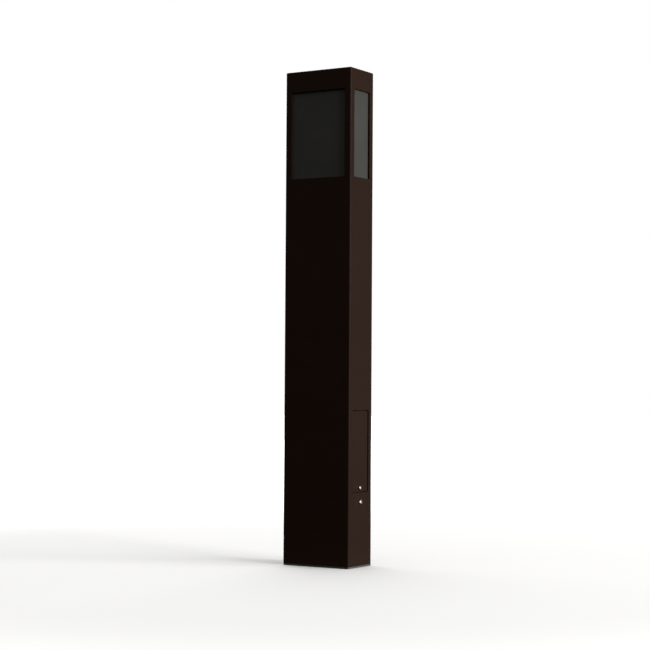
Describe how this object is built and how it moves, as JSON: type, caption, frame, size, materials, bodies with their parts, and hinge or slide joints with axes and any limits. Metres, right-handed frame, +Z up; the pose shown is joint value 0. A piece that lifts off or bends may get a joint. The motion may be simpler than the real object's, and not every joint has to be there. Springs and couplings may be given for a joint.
{
  "type": "bollard light",
  "caption": "Rectangular aluminium bollard light with frosted windows on all sides near the top and a flush hand-hole cover low on one narrow side.",
  "frame": {"origin": "on the ground, at the centre of the base's underside", "axes": "+Z up the shaft; +X out of the narrow face that has the hand hole; the two wide faces look along -Y (front) and +Y (rear)"},
  "size_m": [0.1598, 0.09, 1],
  "materials": {
    "bronze_powder_coat": "satin powder coat",
    "cast_aluminium": "as cast",
    "mill_aluminium": "mill",
    "galvanised_steel": "galvanised",
    "stainless_steel": "polished",
    "frosted_glass": "acid etched, grey tinted",
    "black_rubber": "matte",
    "led_board_white": "white solder mask",
    "driver_black": "fine texture",
    "gland_black": "moulded nylon",
    "surge_grey": "moulded",
    "terminal_white": "moulded",
    "cable_black": "matte jacket",
    "ground_wire_green": "jacket",
    "lug_copper": "bare copper"
  },
  "bodies": {
    "bollard": {"anchor_base": "cast_aluminium", "shaft_screw_right": "stainless_steel", "shaft_screw_left": "stainless_steel", "ground_lug": "lug_copper", "ground_screw": "stainless_steel", "housing": "bronze_powder_coat", "handhole_frame": "bronze_powder_coat", "cover_nut": "galvanised_steel", "gear_tray": "galvanised_steel", "led_driver": "driver_black", "surge_protector": "surge_grey", "terminal_block": "terminal_white", "tray_standoff_lower": "mill_aluminium", "tray_standoff_upper": "mill_aluminium", "tray_screw_lower": "stainless_steel", "tray_screw_upper": "stainless_steel", "driver_screw_lower": "stainless_steel", "driver_screw_upper": "stainless_steel", "light_tray": "mill_aluminium", "light_tray_seal": "black_rubber", "ledge_left": "bronze_powder_coat", "ledge_right": "bronze_powder_coat", "cable_gland": "gland_black", "lens_front": "frosted_glass", "lens_right": "frosted_glass", "lens_rear": "frosted_glass", "lens_left": "frosted_glass", "lens_gasket_front": "black_rubber", "lens_gasket_right": "black_rubber", "lens_gasket_rear": "black_rubber", "lens_gasket_left": "black_rubber", "corner_post_front_left": "mill_aluminium", "corner_post_front_right": "mill_aluminium", "corner_post_rear_left": "mill_aluminium", "corner_post_rear_right": "mill_aluminium", "post_screw_front_left": "stainless_steel", "post_screw_front_right": "stainless_steel", "post_screw_rear_left": "stainless_steel", "post_screw_rear_right": "stainless_steel", "led_heatsink": "mill_aluminium", "led_board_front": "led_board_white", "led_board_right": "led_board_white", "led_board_rear": "led_board_white", "led_board_left": "led_board_white", "heatsink_screw_left": "stainless_steel", "heatsink_screw_right": "stainless_steel", "top_cap": "bronze_powder_coat", "cap_seal": "black_rubber", "cap_screw_front_left": "stainless_steel", "cap_screw_front_right": "stainless_steel", "cap_screw_rear_left": "stainless_steel", "cap_screw_rear_right": "stainless_steel", "led_cable": "cable_black", "driver_input_cable": "cable_black", "ground_wire": "ground_wire_green"},
    "hand_hole_cover": {"access_cover": "bronze_powder_coat", "cover_hook": "bronze_powder_coat", "cover_gasket": "black_rubber"},
    "captive_washer": {"cover_washer": "black_rubber"},
    "captive_screw": {"cover_screw": "stainless_steel"}
  },
  "joints": [
    {"name": "cover_tilt", "type": "hinge", "parent": "bollard", "child": "hand_hole_cover", "pos_m": [0.0738, 0, 0.314], "axis": [0, -1, 0], "range_deg": [0, 18]},
    {"name": "screw_travel", "type": "slide", "parent": "hand_hole_cover", "child": "captive_washer", "axis": [1, 0, 0], "range_m": [0, 0.0048]},
    {"name": "screw_turn", "type": "hinge", "parent": "captive_washer", "child": "captive_screw", "pos_m": [0.0754, 0, 0.1584], "axis": [1, 0, 0], "range_deg": [0, 2468.6]}
  ],
  "couplings": [
    {"joint": "screw_turn", "follows": "screw_travel", "rad_per_m": 8976}
  ]
}
